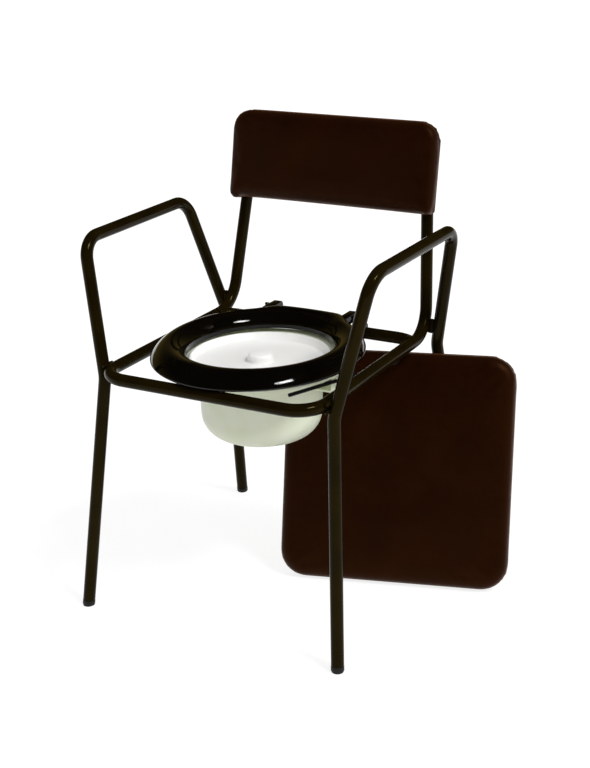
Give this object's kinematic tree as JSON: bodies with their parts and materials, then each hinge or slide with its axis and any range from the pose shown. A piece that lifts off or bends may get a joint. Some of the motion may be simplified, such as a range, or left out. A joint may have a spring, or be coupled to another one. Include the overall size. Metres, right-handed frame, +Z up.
{
  "type": "commode chair",
  "caption": "Tubular steel commode chair with splayed arms, padded backrest, hinged toilet seat over a lidded round pan, and a padded lift-off cushion leaning on a rear leg.",
  "frame": {"origin": "on the floor, under the middle of the bounding box of the chair and its leaning cushion", "axes": "+Z up; the chair faces -Y; +X is the side where the cushion stands"},
  "size_m": [0.678, 0.562, 0.8089],
  "materials": {
    "frame_enamel": "dark brown stove enamel, glossy",
    "foot_rubber": "moulded rubber, matt",
    "plug_plastic": "moulded plastic, satin",
    "rod_enamel": "black enamel, satin",
    "plywood": "sawn plywood, unfinished",
    "foam": "open-cell foam",
    "vinyl": "dark brown vinyl leathercloth, fine grain, satin",
    "screw_steel": "zinc plated",
    "hinge_plastic": "moulded plastic, satin",
    "seat_plastic": "moulded black plastic, high gloss",
    "pan_plastic": "moulded polypropylene, pale greenish white, semi-gloss",
    "lid_plastic": "moulded polypropylene, white, semi-gloss",
    "batten_wood": "planed softwood, unfinished"
  },
  "bodies": {
    "frame": {"seat_back_tube": "frame_enamel", "rear_rail": "frame_enamel", "backrest_board": "plywood", "backrest_foam": "foam", "backrest_cover": "vinyl", "backrest_screw_1": "screw_steel", "backrest_screw_2": "screw_steel", "backrest_screw_3": "screw_steel", "backrest_screw_4": "screw_steel", "side_frame_left": "frame_enamel", "upright_plug_left": "plug_plastic", "pan_rod_left": "rod_enamel", "hinge_block_left": "hinge_plastic", "hinge_pin_left": "screw_steel", "hinge_screw_left": "screw_steel", "glide_front_left": "foot_rubber", "glide_rear_left": "foot_rubber", "side_frame_right": "frame_enamel", "upright_plug_right": "plug_plastic", "pan_rod_right": "rod_enamel", "hinge_block_right": "hinge_plastic", "hinge_pin_right": "screw_steel", "hinge_screw_right": "screw_steel", "glide_front_right": "foot_rubber", "glide_rear_right": "foot_rubber"},
    "seat": {"toilet_seat": "seat_plastic", "seat_buffer_left": "foot_rubber", "seat_buffer_right": "foot_rubber"},
    "pan": {"pan": "pan_plastic"},
    "lid": {"pan_lid": "lid_plastic"},
    "cushion": {"cushion_board": "plywood", "cushion_foam": "foam", "cushion_cover": "vinyl", "cushion_batten_left": "batten_wood", "cushion_batten_right": "batten_wood"}
  },
  "joints": [
    {"name": "seat_hinge", "type": "hinge", "parent": "frame", "child": "seat", "pos_m": [-0.05763, 0.13971, 0.4655], "axis": [-1, 0, 0], "range_deg": [0, 98]},
    {"name": "pan_lift", "type": "slide", "parent": "frame", "child": "pan", "axis": [0, 0, 1], "range_m": [0, 0.007]},
    {"name": "lid_lift", "type": "slide", "parent": "pan", "child": "lid", "axis": [0, 0, 1], "range_m": [0, 0.08]},
    {"name": "cushion_slide", "type": "slide", "parent": "frame", "child": "cushion", "axis": [0.9586, 0.2849, 0], "range_m": [0, 0.2]}
  ]
}
